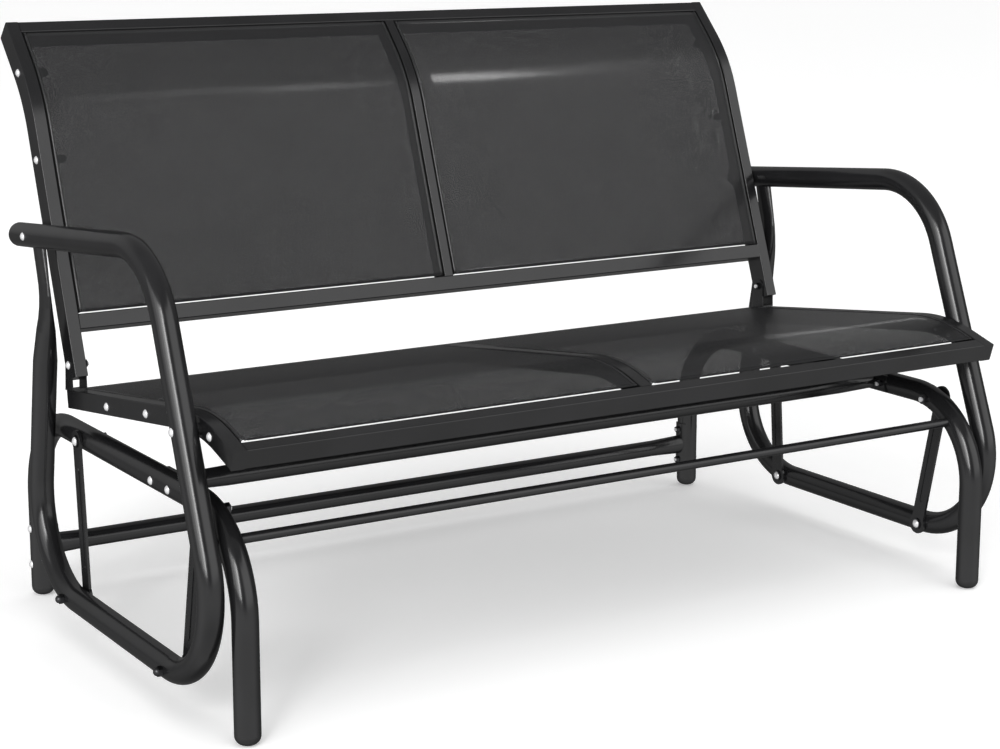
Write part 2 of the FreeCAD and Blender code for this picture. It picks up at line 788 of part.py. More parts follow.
# Spacers between the arm frames and the seat and back frames, hollowed to sit on the tube
spacer_blank = arm_spacer_gap + arm_spacer_radius / 2
spacers = []
for point in (front_arm_bolt, rear_arm_bolt):
    spacer = washer(point + ACROSS * frame_face, ACROSS, arm_spacer_radius,
                    frame_bolt_radius + hole_clearance, spacer_blank)
    run_from, run_to = (corners[1], corners[2]) if point is front_arm_bolt else (corners[0], corners[1])
    spacers.append(spacer.cut(round_bar([("run", run_from, run_to)], tube_radius)).Solids[0])
nodes["arm_spacers"] = both_sides(spacers)

front_bolts, front_nuts = frame_fasteners([front_arm_bolt], arm_outer_face,
                                          frame_face - seat_rail_width - strip_thickness)
rear_bolts, rear_nuts = frame_fasteners([rear_arm_bolt], arm_outer_face,
                                        frame_face - back_rail_width - strip_thickness)
nodes["arm_bolts"] = both_sides(front_bolts + rear_bolts)
nodes["arm_nuts"] = both_sides(front_nuts + rear_nuts)


# Seat frame
seat_rail_inner = frame_face - seat_rail_width
side_rail = seat_line.tube(0, seat_line.length, seat_rail_depth, seat_rail_inner, frame_face,
                           rail_end_wall)
for point in seat_bolts + [front_arm_bolt]:
    side_rail = drilled(side_rail, point + ACROSS * frame_face, frame_bolt_radius + hole_clearance)
nodes["seat_side_rail_right"] = [side_rail]
nodes["seat_side_rail_left"] = [mirrored(side_rail)]
seat_front_from = seat_line.length - seat_cross_width
nodes["seat_front_rail"] = [cross_box(seat_line, seat_front_from, seat_line.length,
                                      seat_rail_depth, seat_rail_inner)]
nodes["seat_rear_rail"] = [cross_box(seat_line, 0, seat_cross_width, seat_rail_depth,
                                     seat_rail_inner)]
nodes["seat_centre_rail"] = [seat_line.tube(seat_cross_width, seat_front_from, seat_rail_depth,
                                            -seat_centre_width / 2, seat_centre_width / 2, 0)]

# Back frame
back_rail_inner = frame_face - back_rail_width
upright_rail = back_line.tube(0, back_line.length, back_rail_depth, back_rail_inner, frame_face,
                              rail_end_wall)
for point in back_bolts + [rear_arm_bolt, bracket_bolt]:
    upright_rail = drilled(upright_rail, point + ACROSS * frame_face,
                           frame_bolt_radius + hole_clearance)
nodes["back_upright_right"] = [upright_rail]
nodes["back_upright_left"] = [mirrored(upright_rail)]
back_top_from = back_line.length - back_top_height
back_bottom_to = back_bottom_start + back_bottom_height
nodes["back_top_rail"] = [cross_box(back_line, back_top_from, back_line.length, back_rail_depth,
                                    back_rail_inner)]
nodes["back_bottom_rail"] = [cross_box(back_line, back_bottom_start, back_bottom_to,
                                       back_rail_depth, back_rail_inner)]
nodes["back_centre_upright"] = [back_line.tube(back_bottom_to, back_top_from, back_rail_depth,
                                               -back_centre_width / 2, back_centre_width / 2, 0)]


# Sling panels, their strips and the bolts through the side rails

def sling(line, near, far, centre_face, side_face, bolts):
    """Right-hand panel and its two strips, drilled for the side bolts."""
    mesh_top = mesh_seat_gap
    strip_top = mesh_top + mesh_thickness + mesh_seat_gap
    strip_bottom = strip_top + strip_depth
    panel = line.slab(near, far, mesh_top, mesh_top + mesh_thickness,
                      centre_face + mesh_edge_gap, side_face - mesh_edge_gap)
    side_strip = line.slab(near, far, strip_top, strip_bottom, side_face - strip_thickness, side_face)
    for point in bolts:
        side_strip = drilled(side_strip, point + ACROSS * side_face,
                             frame_bolt_radius + hole_clearance)
    centre_strip = line.slab(near, far, strip_top, strip_bottom, centre_face,
                             centre_face + strip_thickness)
    return panel, [side_strip, centre_strip]


seat_mesh, seat_strips = sling(seat_line, seat_cross_width + rear_slit, seat_front_from - front_slit,
                               seat_centre_width / 2, seat_rail_inner, seat_bolts + [front_arm_bolt])
nodes["seat_mesh_right"] = [seat_mesh]
nodes["seat_mesh_left"] = [mirrored(seat_mesh)]
nodes["seat_sling_strips"] = both_sides(seat_strips)
back_mesh, back_strips = sling(back_line, back_bottom_to + back_low_slit,
                               back_top_from - back_top_slit, back_centre_width / 2,
                               back_rail_inner, back_bolts + [rear_arm_bolt])
nodes["back_mesh_right"] = [back_mesh]
nodes["back_mesh_left"] = [mirrored(back_mesh)]
nodes["back_sling_strips"] = both_sides(back_strips)
bolts, nuts = frame_fasteners(seat_bolts, frame_face, seat_rail_inner - strip_thickness)
nodes["seat_side_bolts"] = both_sides(bolts)
nodes["seat_side_nuts"] = both_sides(nuts)
bolts, nuts = frame_fasteners(back_bolts, frame_face, back_rail_inner - strip_thickness)
nodes["back_side_bolts"] = both_sides(bolts)
nodes["back_side_nuts"] = both_sides(nuts)


# Brackets folded from sheet: a foot on the seat rail and an ear on each side of the upright

def bracket():
    outer_x = frame_face + bracket_thickness
    inner_x = back_rail_inner - bracket_thickness

    foot_rear = min(bracket_foot_front + bracket_foot_length, seat_rear_position)
    low_front = side_point(bracket_foot_front, seat_rail_top(bracket_foot_front))
    low_rear = side_point(foot_rear, seat_rail_top(foot_rear))
    middle = bracket_bolt

    def tangent_point(corner, side):
        apart = middle - corner
        reach = apart.Length
        swing = math.acos(bracket_top_radius / reach)
        towards = math.atan2(-apart.z, -apart.y) + side * swing
        return middle + Vector(0, math.cos(towards), math.sin(towards)) * bracket_top_radius

    front_touch = tangent_point(low_front, -1)
    rear_touch = tangent_point(low_rear, 1)
    crown = middle + (middle - (low_front + low_rear) * 0.5).normalize() * bracket_top_radius
    outline = Part.Wire([
        Part.LineSegment(low_front, front_touch).toShape(),
        Part.Arc(front_touch, crown, rear_touch).toShape(),
        Part.LineSegment(rear_touch, low_rear).toShape(),
        Part.LineSegment(low_rear, low_front).toShape(),
    ])
    ear = Part.Face(outline)
    inner_ear = ear.translated(ACROSS * inner_x).extrude(ACROSS * bracket_thickness)
    outer_ear = ear.translated(ACROSS * frame_face).extrude(ACROSS * bracket_thickness)
    rise = Vector(0, math.sin(math.radians(seat_pitch)), math.cos(math.radians(seat_pitch)))
    foot_outline = Part.makePolygon([low_front, low_rear, low_rear + rise * bracket_thickness,
                                     low_front + rise * bracket_thickness, low_front])
    foot = Part.Face(foot_outline).translated(ACROSS * inner_x).extrude(ACROSS * (outer_x - inner_x))
    whole = inner_ear.multiFuse([outer_ear, foot]).removeSplitter()
    return drilled(whole, middle + ACROSS * frame_face, frame_bolt_radius + hole_clearance).Solids[0]


back_bracket = bracket()
nodes["back_bracket_right"] = [back_bracket]
nodes["back_bracket_left"] = [mirrored(back_bracket)]
bolts, nuts = frame_fasteners([bracket_bolt], frame_face + bracket_thickness,
                              back_rail_inner - bracket_thickness)
nodes["bracket_bolts"] = both_sides(bolts)
nodes["bracket_nuts"] = both_sides(nuts)


# Move the bench so that its middle lies over the origin, and write one file for each sub-part
bench = Part.makeCompound([solid for solids in nodes.values() for solid in solids])
box = bench.optimalBoundingBox(False, False)
shift = Vector(0, -(box.YMin + box.YMax) / 2, 0)
for name, solids in nodes.items():
    moved = [solid.translated(shift) for solid in solids]
    shape = moved[0] if len(moved) == 1 else Part.makeCompound(moved)
    shape.exportStep("parts/" + name + ".step")
    volume = sum(solid.Volume for solid in moved)
    valid = all(solid.isValid() for solid in moved)
    print(f"{name:26s} solids {len(moved):2d}  volume {volume / 1000:9.2f} cm3  valid {valid}")
print("size", round(box.XLength, 2), round(box.YLength, 2), round(box.ZLength, 2),
      "moved along Y by", round(shift.y, 3))
for name, point in (("front_upper", front_upper), ("rear_upper", rear_upper),
                    ("front_lower", front_lower), ("rear_lower", rear_lower),
                    ("front_arm_bolt", front_arm_bolt), ("rear_arm_bolt", rear_arm_bolt)):
    print(name, round(point.y + shift.y, 4), round(point.z, 4))
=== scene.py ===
# Looks of the glider bench: woven sling panels, powder-coated tube, bright bolts, floor and light.
# Metres. X runs across the bench, Y towards the back and Z up from the floor.
import bmesh
import bpy
import json
import math
from mathutils import Matrix, Vector


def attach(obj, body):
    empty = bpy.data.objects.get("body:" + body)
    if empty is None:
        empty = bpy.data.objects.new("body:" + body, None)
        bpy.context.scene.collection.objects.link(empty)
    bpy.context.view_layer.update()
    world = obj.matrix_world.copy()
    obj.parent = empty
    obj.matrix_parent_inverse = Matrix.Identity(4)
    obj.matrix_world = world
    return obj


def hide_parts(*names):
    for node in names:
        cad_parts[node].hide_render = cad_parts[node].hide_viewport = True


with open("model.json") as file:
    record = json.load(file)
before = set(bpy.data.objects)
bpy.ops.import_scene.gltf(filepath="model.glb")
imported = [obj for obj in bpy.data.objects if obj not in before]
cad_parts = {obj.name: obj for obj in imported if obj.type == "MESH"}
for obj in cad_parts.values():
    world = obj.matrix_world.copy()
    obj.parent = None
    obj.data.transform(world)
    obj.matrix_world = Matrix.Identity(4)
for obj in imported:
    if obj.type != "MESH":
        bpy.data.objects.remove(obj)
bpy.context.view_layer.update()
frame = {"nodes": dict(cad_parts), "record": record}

# Camera, found from the photograph
camera_place = Vector((-1.7306, -2.76467, 1.04503))
camera_azimuth = 31.8
camera_elevation = 11.16
image_width = 1000
image_height = 749
focal_pixels = 2193.25
principal_x = 495.22
principal_y = 334.56
sensor_width = 36.0
camera_reach = 200.0

# The bench is moved along Y by this, from a frame whose Y starts at the front leg's axis
bench_shift = -0.372022

# Lines of the seat's side rails and the back's uprights. Sides are the x of the centre rail's face
# and of the inner face of the rail or upright at the side
seat_start = (0.543, 0.3583)
seat_heading = 172.7
seat_straight = 0.405
seat_bend_radius = 0.268
seat_bend_turn = 24.5
seat_nose = 0.0467
seat_length = seat_straight + seat_bend_radius * math.radians(seat_bend_turn) + seat_nose
seat_sides = (0.0095, 0.614)
back_start = (0.5047, 0.3840)
back_heading = 70.25
back_straight = 0.368
back_bend_radius = 0.248
back_bend_turn = 24.3
back_crest = 0.074
back_length = back_straight + back_bend_radius * math.radians(back_bend_turn) + back_crest
back_sides = (0.0075, 0.615)

# Sling panels
seat_panel_near = 0.0205
seat_panel_far = seat_length - 0.0245
back_panel_near = 0.0916
back_panel_far = back_length - 0.0212
panel_depth = 0.0007
panel_thickness = 0.0006
panel_edge_gap = 0.0028
panel_flap = 0.012
panel_slack = 0.0015
slack_power_across = 0.8
slack_power_along = 0.6
row_step = 0.008
column_step = 0.02

# Beaded welts along the panels' sides, and hems along their free edges
bead_radius = 0.0022
bead_turn = 140.0
bead_turn_step = 20.0
bead_foot = 2.2 * bead_radius
bead_rise = 2.8 * bead_radius
groove_depth = 0.0016
groove_end = 0.0085
welt_columns = 8
hem_width = 0.004
hem_drop = 1.6 * panel_thickness

# A panel's materials, by their place in its list
under_index = 1
rim_index = 2
welt_index = 3

# Weave
weave_pitch_across = 0.00118
weave_pitch_along = 0.00137
half_pitch = 0.5
over_height = 0.45
closed_share = 0.045
opening_length = 0.03
drift_scale_across = 130.0
drift_scale_along = 110.0
yarn_heights = (0.2, 1.3)
# Tones by the weave's height darken its low places between crossing yarns: painted shade in the weave's
# hollows
hollow_shade_tones = (0.25, 1.0)
yarn_tones = (0.8, 1.0)
cloud_tones = (0.92, 1.0)
cloth_roughness = (0.34, 0.46)
cloth_specular = 0.1
coat_weights = (0.10, 0.22)
weave_bump = 0.0002
strip_specular = 0.08

# Round caps over the back bolts' nuts, which show through the cloth
back_bolt_distances = (0.321, 0.465)
cap_seat_side = 0.612
cap_radius = 0.0062
cap_length = 0.023
cap_depth = 0.018
cap_sides = 40
cap_rounding = 0.0045
cap_rounding_steps = 6
end_face_corners = 8

# Ranges of a noise's output, from narrow to wide, and shares that rise or fall
noise_inner = (0.36, 0.64)
noise_middle = (0.35, 0.65)
noise_usual = (0.3, 0.7)
noise_wide = (0.2, 0.8)
rising = (0.0, 1.0)
falling = (1.0, 0.0)


# Camera

def forward(azimuth, elevation):
    """Direction at this azimuth, from +Y towards +X, and this far below the horizon."""
    level = math.cos(math.radians(elevation))
    turn = math.radians(azimuth)
    return Vector((math.sin(turn) * level, math.cos(turn) * level, -math.sin(math.radians(elevation))))


camera = bpy.data.objects.new("camera", bpy.data.cameras.new("camera"))
bpy.context.scene.collection.objects.link(camera)
camera.location = camera_place
camera.rotation_mode = "QUATERNION"
camera.rotation_quaternion = forward(camera_azimuth, camera_elevation).to_track_quat("-Z", "Y")
camera.data.sensor_width = sensor_width
camera.data.lens = focal_pixels * sensor_width / image_width
camera.data.shift_x = (image_width / 2 - principal_x) / image_width
camera.data.shift_y = (principal_y - image_height / 2) / image_width
camera.data.clip_end = camera_reach
bpy.context.scene.camera = camera


# Materials

def grey(value, blue=None):
    """Grey with its blue share a little different where one is given."""
    return (value, value, value if blue is None else blue)


def new_material(name):
    """Material with a Principled shader, its node tree, its shader and its object coordinates."""
    material = bpy.data.materials.new(name)
    material.use_nodes = True
    tree = material.node_tree
    shader = tree.nodes["Principled BSDF"]
    place = tree.nodes.new("ShaderNodeTexCoord").outputs["Object"]
    return material, tree, shader, place


def math_node(tree, operation, first, second=None):
    """Math node whose inputs are numbers or other nodes' outputs. Returns its output."""
    node = tree.nodes.new("ShaderNodeMath")
    node.operation = operation
    for socket, value in zip(node.inputs, (first, second)):
        if isinstance(value, (int, float)):
            socket.default_value = value
        elif value is not None:
            tree.links.new(value, socket)
    return node.outputs[0]


def mix_colour(tree, share, low, high):
    """Colour between two fixed colours by an output from 0 to 1."""
    node = tree.nodes.new("ShaderNodeMix")
    node.data_type = "RGBA"
    tree.links.new(share, node.inputs["Factor"])
    node.inputs["A"].default_value = (*low, 1)
    node.inputs["B"].default_value = (*high, 1)
    return node.outputs["Result"]


def noise(tree, coordinates, scale, detail, roughness=0.5):
    """Noise output at this scale over the coordinates."""
    node = tree.nodes.new("ShaderNodeTexNoise")
    node.inputs["Scale"].default_value = scale
    node.inputs["Detail"].default_value = detail
    node.inputs["Roughness"].default_value = roughness
    tree.links.new(coordinates, node.inputs["Vector"])
    return node.outputs["Fac"]


def remap(tree, value, old, new):
    """The value's old range stretched to a new one and clamped there."""
    node = tree.nodes.new("ShaderNodeMapRange")
    node.inputs["From Min"].default_value = old[0]
    node.inputs["From Max"].default_value = old[1]
    node.inputs["To Min"].default_value = new[0]
    node.inputs["To Max"].default_value = new[1]
    tree.links.new(value, node.inputs["Value"])
    return node.outputs["Result"]


def add_bump(tree, shader, height, strength, distance, socket="Normal"):
    """Bump from a height output, into this socket of the shader."""
    bump = tree.nodes.new("ShaderNodeBump")
    bump.inputs["Strength"].default_value = strength
    bump.inputs["Distance"].default_value = distance
    tree.links.new(height, bump.inputs["Height"])
    tree.links.new(bump.outputs["Normal"], shader.inputs[socket])


def powder_coat(name, dark, light, smooth, rough):
    """Satin powder coat: a fine orange peel with slight changes of colour and gloss."""
    material, tree, shader, place = new_material(name)
    patches = noise(tree, place, scale=9.0, detail=4.0, roughness=0.55)
    tree.links.new(mix_colour(tree, remap(tree, patches, noise_middle, rising), dark, light),
                   shader.inputs["Base Color"])
    grain = noise(tree, place, scale=55.0, detail=3.0, roughness=0.6)
    tree.links.new(remap(tree, grain, noise_usual, (smooth, rough)), shader.inputs["Roughness"])
    peel = noise(tree, place, scale=650.0, detail=2.0)
    add_bump(tree, shader, peel, strength=0.05, distance=0.0004)
    return material


def moulded_plastic(name, dark, light, rough, gloss_change=0.05):
    """Satin moulded plastic with a fine spark-eroded grain."""
    material, tree, shader, place = new_material(name)
    patches = noise(tree, place, scale=25.0, detail=3.0)
    tree.links.new(mix_colour(tree, patches, dark, light), shader.inputs["Base Color"])
    tree.links.new(remap(tree, patches, noise_usual, (rough - gloss_change, rough + gloss_change)),
                   shader.inputs["Roughness"])
    grain = noise(tree, place, scale=1800.0, detail=2.0)
    add_bump(tree, shader, grain, strength=0.15, distance=0.0002)
    return material


def plated_metal(name, dark, light, smooth, rough, share):
    """Plated steel with fine scratches and cloudy gloss. Share is how much of it is bare metal."""
    material, tree, shader, place = new_material(name)
    shader.inputs["Metallic"].default_value = share
    clouds = noise(tree, place, scale=180.0, detail=3.0, roughness=0.6)
    tree.links.new(mix_colour(tree, clouds, dark, light), shader.inputs["Base Color"])
    tree.links.new(remap(tree, clouds, noise_usual, (smooth, rough)), shader.inputs["Roughness"])
    scratches = noise(tree, place, scale=2400.0, detail=1.0, roughness=0.4)
    add_bump(tree, shader, scratches, strength=0.08, distance=0.0001)
    return material


def yarn_count(tree, place, length, pitch, drift_scale):
    """Yarns up to this length of cloth, with a slow drift of up to half a yarn."""
    drift = remap(tree, noise(tree, place, drift_scale, detail=1.0), noise_wide, (-half_pitch, half_pitch))
    return math_node(tree, "ADD", drift, math_node(tree, "DIVIDE", length, pitch))


def cosine(tree, turns):
    """Cosine of this many half turns."""
    return math_node(tree, "COSINE", math_node(tree, "MULTIPLY", turns, math.pi))


def woven_mesh(name, hole_across, hole_along, spread, light, coat_roughness=0.12, opens=None):
    """Coated yarn in a plain weave, with open holes. Its UV map is in metres of cloth.

    Holes are shares of the pitch, and spread is how far they differ. Where opens is given, they
    are small before its first distance along the cloth and full from its second.
    """
    material, tree, shader, place = new_material(name)
    cloth = tree.nodes.new("ShaderNodeUVMap")
    cloth.uv_map = "cloth"
    parts = tree.nodes.new("ShaderNodeSeparateXYZ")
    tree.links.new(cloth.outputs["UV"], parts.inputs["Vector"])
    across = yarn_count(tree, place, parts.outputs["X"], weave_pitch_across, drift_scale_across)
    along = yarn_count(tree, place, parts.outputs["Y"], weave_pitch_along, drift_scale_along)
    from_yarn_across = math_node(tree, "PINGPONG", across, half_pitch)
    from_yarn_along = math_node(tree, "PINGPONG", along, half_pitch)

    if hole_across > 0:
        size = remap(tree, noise(tree, place, scale=520.0, detail=1.0), noise_middle, (-spread, spread))
        if opens is not None:
            tight = remap(tree, parts.outputs["Y"], opens, (-closed_share, 0.0))
            size = math_node(tree, "ADD", size, tight)
        open_across = math_node(tree, "GREATER_THAN", math_node(tree, "ADD", from_yarn_across, size),
                                half_pitch - hole_across / 2)
        open_along = math_node(tree, "GREATER_THAN", math_node(tree, "ADD", from_yarn_along, size),
                               half_pitch - hole_along / 2)
        hole = math_node(tree, "MULTIPLY", open_across, open_along)
        tree.links.new(math_node(tree, "SUBTRACT", 1.0, hole), shader.inputs["Alpha"])

    crossing = math_node(tree, "MULTIPLY", cosine(tree, across), cosine(tree, along))
    over = math_node(tree, "MULTIPLY", crossing, over_height)
    warp = math_node(tree, "ADD", cosine(tree, from_yarn_across), over)
    weft = math_node(tree, "SUBTRACT", cosine(tree, from_yarn_along), over)
    height = math_node(tree, "MAXIMUM", warp, weft)
    yarn = noise(tree, place, scale=420.0, detail=2.0)
    clouds = noise(tree, place, scale=14.0, detail=3.0)
    # Darker where the weave is low: painted shade in its hollows, times the yarns' own random tone and
    # clouds
    tone_and_hollow_shade = math_node(tree, "MULTIPLY", remap(tree, height, yarn_heights, hollow_shade_tones),
                     remap(tree, yarn, noise_usual, yarn_tones))
    tone_and_hollow_shade = math_node(tree, "MULTIPLY", tone_and_hollow_shade, remap(tree, clouds, noise_usual, cloud_tones))
    tree.links.new(mix_colour(tree, tone_and_hollow_shade, cloth_dark, light), shader.inputs["Base Color"])
    tree.links.new(remap(tree, yarn, noise_usual, cloth_roughness), shader.inputs["Roughness"])
    shader.inputs["Specular IOR Level"].default_value = cloth_specular
    beads = noise(tree, place, scale=480.0, detail=1.0)
    tree.links.new(remap(tree, beads, noise_inner, coat_weights), shader.inputs["Coat Weight"])
    shader.inputs["Coat Roughness"].default_value = coat_roughness
    add_bump(tree, shader, height, strength=0.04, distance=weave_bump, socket="Coat Normal")
    add_bump(tree, shader, height, strength=0.35, distance=weave_bump)
    return material


coat_dark = grey(0.010, 0.0105)
coat_light = grey(0.014, 0.015)
cloth_dark = grey(0.006, 0.0063)
# One cloth, given a lighter tone on the back and a darker one on the seat: painted light and shade
back_lit_tone = grey(0.0245, 0.0255)
seat_shaded_tone = grey(0.020, 0.021)
seat_opens = seat_straight - seat_panel_near

coat_tube = powder_coat("coat_tube", coat_dark, coat_light, smooth=0.15, rough=0.21)
coat_sheet = powder_coat("coat_sheet", coat_dark, coat_light, smooth=0.23, rough=0.30)
# Near white: the bolts' bright plating, and in the share that isn't bare metal also a painted highlight
bright_plating_and_highlight = plated_metal("bright_plating_and_highlight", grey(0.80, 0.81), grey(0.92, 0.93), smooth=0.22, rough=0.34,
                           share=0.4)
dark_bolt = plated_metal("dark_bolt", grey(0.05, 0.053), grey(0.09, 0.094), smooth=0.30, rough=0.44,
                         share=1.0)
bushing_plastic = moulded_plastic("bushing_plastic", grey(0.02), grey(0.03), rough=0.5)
cap_plastic = moulded_plastic("cap_plastic", grey(0.010, 0.0105), grey(0.014, 0.0145), rough=0.38)
strip_plastic = moulded_plastic("strip_plastic", grey(0.004), grey(0.006), rough=0.6)
strip_shader = strip_plastic.node_tree.nodes["Principled BSDF"]
strip_shader.inputs["Specular IOR Level"].default_value = strip_specular
welt_plastic = moulded_plastic("welt_plastic", grey(0.012), grey(0.024, 0.025), rough=0.22)
back_cloth = woven_mesh("back_cloth", hole_across=0.132, hole_along=0.142, spread=0.03, light=back_lit_tone)
seat_cloth = woven_mesh("seat_cloth", hole_across=0.18, hole_along=0.20, spread=0.02, light=seat_shaded_tone,
                        coat_roughness=0.09, opens=(seat_opens, seat_opens + opening_length))
under_cloth = woven_mesh("under_cloth", hole_across=0.94, hole_along=0.94, spread=0.0, light=back_lit_tone)
hem_cloth = woven_mesh("hem_cloth", hole_across=0.0, hole_along=0.0, spread=0.0, light=back_lit_tone)

slot_materials = {
    "coated_tube": coat_tube,
    "coated_sheet": coat_sheet,
    "bright_hardware": bright_plating_and_highlight,
    "dark_hardware": dark_bolt,
    "bushing": bushing_plastic,
    "cap_plastic": cap_plastic,
    "sling_strip": strip_plastic,
    "sling_mesh": back_cloth,
}
for part in frame["record"]["subparts"]:
    node_object = frame["nodes"][part["node"]]
    for material_slot in node_object.material_slots:
        material_slot.material = slot_materials[part["material_slot"]]


# Sling panels

class PanelLine:
    """Line of a rail's outer edge in the side view: straight, a bend and straight again."""

    def __init__(self, start, heading, straight, radius, turn, side):
        self.start = Vector((start[0] + bench_shift, start[1]))
        self.heading = math.radians(heading)
        self.straight = straight
        self.radius = radius
        self.side = side
        self.arc = radius * math.radians(turn)

    def angle(self, distance):
        past = min(max(distance - self.straight, 0.0), self.arc)
        return self.heading + self.side * past / self.radius

    def inward(self, distance):
        turn = self.angle(distance) + self.side * math.pi / 2
        return Vector((math.cos(turn), math.sin(turn)))

    def at(self, distance, depth):
        """Point (y, z) at a distance along the line and a depth below it."""
        point = self.start + Vector((math.cos(self.heading), math.sin(self.heading))) * min(
            distance, self.straight)
        if distance > self.straight:
            centre = point + self.inward(0.0) * self.radius
            point = centre - self.inward(distance) * self.radius
        past_bend = distance - self.straight - self.arc
        if past_bend > 0:
            turn = self.angle(distance)
            point = point + Vector((math.cos(turn), math.sin(turn))) * past_bend
        return point + self.inward(distance) * depth


seat_line = PanelLine(seat_start, seat_heading, seat_straight, seat_bend_radius, seat_bend_turn, 1)
back_line = PanelLine(back_start, back_heading, back_straight, back_bend_radius, back_bend_turn, -1)


def spaced(start, end, step):
    """Evenly spaced numbers from start to end, about this step apart."""
    count = max(1, round(abs(end - start) / step))
    return [start + (end - start) * index / count for index in range(count + 1)]


def panel_section(low_x, high_x):
    """Points (x, depth, cloth) across a panel. Each edge turns down over a beaded welt."""
    points = [(low_x, panel_flap), (low_x, (panel_flap + bead_radius) / 2)]
    for turn in spaced(0.0, math.radians(bead_turn), math.radians(bead_turn_step)):
        points.append((low_x + bead_radius * (1 - math.cos(turn)),
                       bead_radius * (1 - math.sin(turn))))
    points.append((low_x + bead_foot, groove_depth))
    points.append((low_x + bead_rise, (groove_depth + panel_depth) / 2))
    flat = [(x, panel_depth) for x in spaced(low_x + groove_end, high_x - groove_end, column_step)]
    turned = [(low_x + high_x - x, depth) for x, depth in reversed(points)]
    points = points + flat + turned
    cloth = 0.0
    section = [(*points[0], cloth)]
    for before, after in zip(points, points[1:]):
        cloth += math.dist(before, after)
        section.append((*after, cloth))
    return section


def glider_piece(name, mesh):
    """Object of this mesh that swings with the glider."""
    made = bpy.data.objects.new(name, mesh)
    bpy.context.scene.collection.objects.link(made)
    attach(made, "glider")
    return made


def cloth_piece(name, line, distances, section, side, lower, material):
    """Woven piece along a rail's line, with a UV map in metres of cloth.

    Lower gives how far a point lies below the section's depth, from its x and distance.
    """
    points = []
    cloth_places = []
    for distance in distances:
        row = []
        for x, depth, cloth in section:
            y, z = line.at(distance, depth + lower(x, distance))
            row.append((side * x, y, z))
            cloth_places.append((cloth, distance - distances[0]))
        if side < 0:
            row.reverse()
        points += row
    wide = len(section)
    faces = []
    for row in range(len(distances) - 1):
        for column in range(wide - 1):
            first = row * wide + column
            faces.append((first, first + 1, first + wide + 1, first + wide))
    mesh = bpy.data.meshes.new(name)
    mesh.from_pydata(points, [], faces)
    uv_layer = mesh.uv_layers.new(name="cloth")
    for loop in mesh.loops:
        uv_layer.data[loop.index].uv = cloth_places[loop.vertex_index]
    mesh.materials.append(material)
    for polygon in mesh.polygons:
        polygon.use_smooth = True
    return glider_piece(name, mesh)


def panel_hem(name, line, near, far, section, side):
    """Turned-back layer of cloth under a panel's free edge."""
    hem = cloth_piece(name, line, spaced(near, far, row_step), section, side,
                      lambda x, distance: hem_drop, hem_cloth)
    thicken = hem.modifiers.new("thickness", "SOLIDIFY")
    thicken.thickness = panel_thickness
    return hem


def sling_panel(name, line, near, far, sides, side, cloth_material, node):
    """One woven panel on the right (side 1) or left (side -1), with a hem along each free edge."""
    low_x = sides[0] + panel_edge_gap
    high_x = sides[1] - panel_edge_gap
    section = panel_section(low_x, high_x)

    def slack(x, distance):
        """Depth of the panel's slight slack at this place."""
        sag_across = math.sin(math.pi * ((x - low_x) / (high_x - low_x))) ** slack_power_across
        sag_along = math.sin(math.pi * ((distance - near) / (far - near))) ** slack_power_along
        return panel_slack * (sag_across * sag_along)

    panel = cloth_piece(name, line, spaced(near, far, row_step), section, side, slack, cloth_material)
    panel.data.flip_normals()
    for material in (under_cloth, hem_cloth, welt_plastic):
        panel.data.materials.append(material)
    last_column = len(section) - 2
    for polygon in panel.data.polygons:
        column = polygon.index % (len(section) - 1)
        if min(column, last_column - column) < welt_columns:
            polygon.material_index = welt_index
    thicken = panel.modifiers.new("thickness", "SOLIDIFY")
    thicken.thickness = panel_thickness
    thicken.offset = 1.0
    thicken.use_rim = True
    thicken.material_offset = under_index
    thicken.material_offset_rim = rim_index
    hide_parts(node)
    flat = [place for place in section if low_x + groove_end <= place[0] <= high_x - groove_end]
    hems = [panel_hem(name + "_hem_low", line, near, near + hem_width, flat, side),
            panel_hem(name + "_hem_high", line, far - hem_width, far, flat, side)]
    return panel


back_slings = []
seat_slings = []
for side, word in ((1, "right"), (-1, "left")):
    seat_slings.append(sling_panel("seat_sling_" + word, seat_line, seat_panel_near, seat_panel_far,
                                   seat_sides, side, seat_cloth, "seat_mesh_" + word))
    back_slings.append(sling_panel("back_sling_" + word, back_line, back_panel_near, back_panel_far,
                                   back_sides, side, back_cloth, "back_mesh_" + word))


def bolt_cap(name, distance, side):
    """Moulded cap on the inner face of a back upright."""
    y, z = back_line.at(distance, cap_depth)
    middle_x = cap_seat_side - cap_length / 2
    mesh = bpy.data.meshes.new(name)
    shape = bmesh.new()
    bmesh.ops.create_cone(shape, cap_ends=True, segments=cap_sides, radius1=cap_radius,
                          radius2=cap_radius, depth=cap_length,
                          matrix=Matrix.Translation((side * middle_x, y, z))
                          @ Matrix.Rotation(math.radians(90.0), 4, "Y"))
    inner_end = [edge for edge in shape.edges
                 if all(abs(vertex.co.x) < middle_x for vertex in edge.verts)]
    bmesh.ops.bevel(shape, geom=inner_end, offset=cap_rounding, segments=cap_rounding_steps,
                    profile=0.5, affect="EDGES")
    shape.to_mesh(mesh)
    shape.free()
    mesh.materials.append(cap_plastic)
    for polygon in mesh.polygons:
        polygon.use_smooth = len(polygon.vertices) < end_face_corners
    glider_piece(name, mesh)


for side, word in ((1, "right"), (-1, "left")):
    for distance, place in zip(back_bolt_distances, ("low", "high")):
        bolt_cap("back_bolt_cap_" + place + "_" + word, distance, side)


# Floor, whose own glow keeps it nearly white outside the shadows
floor_reach = 60.0
floor_drop = 0.0005
floor_white = 0.94
floor_roughness = 0.8
floor_glow = 0.265

